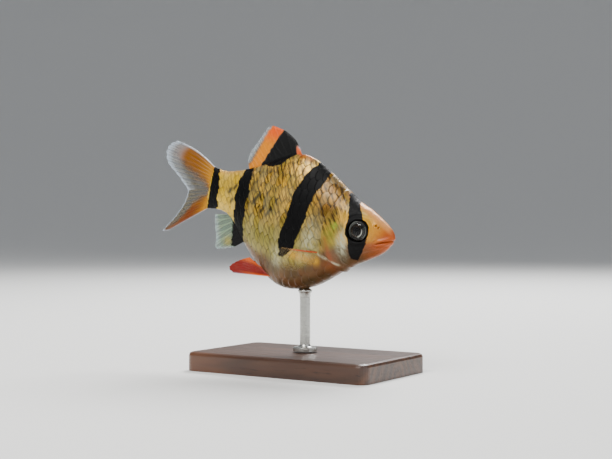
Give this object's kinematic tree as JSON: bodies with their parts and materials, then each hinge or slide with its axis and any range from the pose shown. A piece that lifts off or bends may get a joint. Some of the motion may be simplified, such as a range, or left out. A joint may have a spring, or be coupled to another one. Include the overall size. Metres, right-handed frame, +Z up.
{
  "type": "tiger barb",
  "caption": "Life-size tiger barb fish, swimming nose down, held by a rod over a flat wooden display base.",
  "frame": {"origin": "centre of the stand's flat underside, straight below the rod", "axes": "+X towards the fish's snout, +Y to its left side, +Z up"},
  "size_m": [0.0615, 0.026, 0.0524],
  "materials": {
    "head_skin": "wet, smooth skin with a pearly cheek and orange lips",
    "scaled_skin": "small glossy golden scales with black bars",
    "eye": "clear and wet over a dark iris with silver edges",
    "dorsal_fin": "black base, orange band and clear margin",
    "anal_fin": "thin clear membrane with pale rays and a black root",
    "tail_fin": "amber outer rays, clear middle, pale margin",
    "pectoral_fin": "thin clear membrane with an orange first ray",
    "pelvic_fin": "deep red membrane with an orange front edge",
    "rod_steel": "brushed",
    "base_wood": "satin walnut"
  },
  "bodies": {
    "root": {"head": "head_skin", "gill_cover_left": "head_skin", "gill_cover_right": "head_skin", "trunk": "scaled_skin", "tail_stem": "scaled_skin", "eye_left": "eye", "eye_right": "eye", "dorsal_fin": "dorsal_fin", "anal_fin": "anal_fin", "tail_fin_upper_lobe": "tail_fin", "tail_fin_lower_lobe": "tail_fin", "pectoral_fin_left": "pectoral_fin", "pectoral_fin_right": "pectoral_fin", "pelvic_fin_left": "pelvic_fin", "pelvic_fin_right": "pelvic_fin", "stand_rod": "rod_steel", "stand_base": "base_wood"}
  },
  "joints": []
}
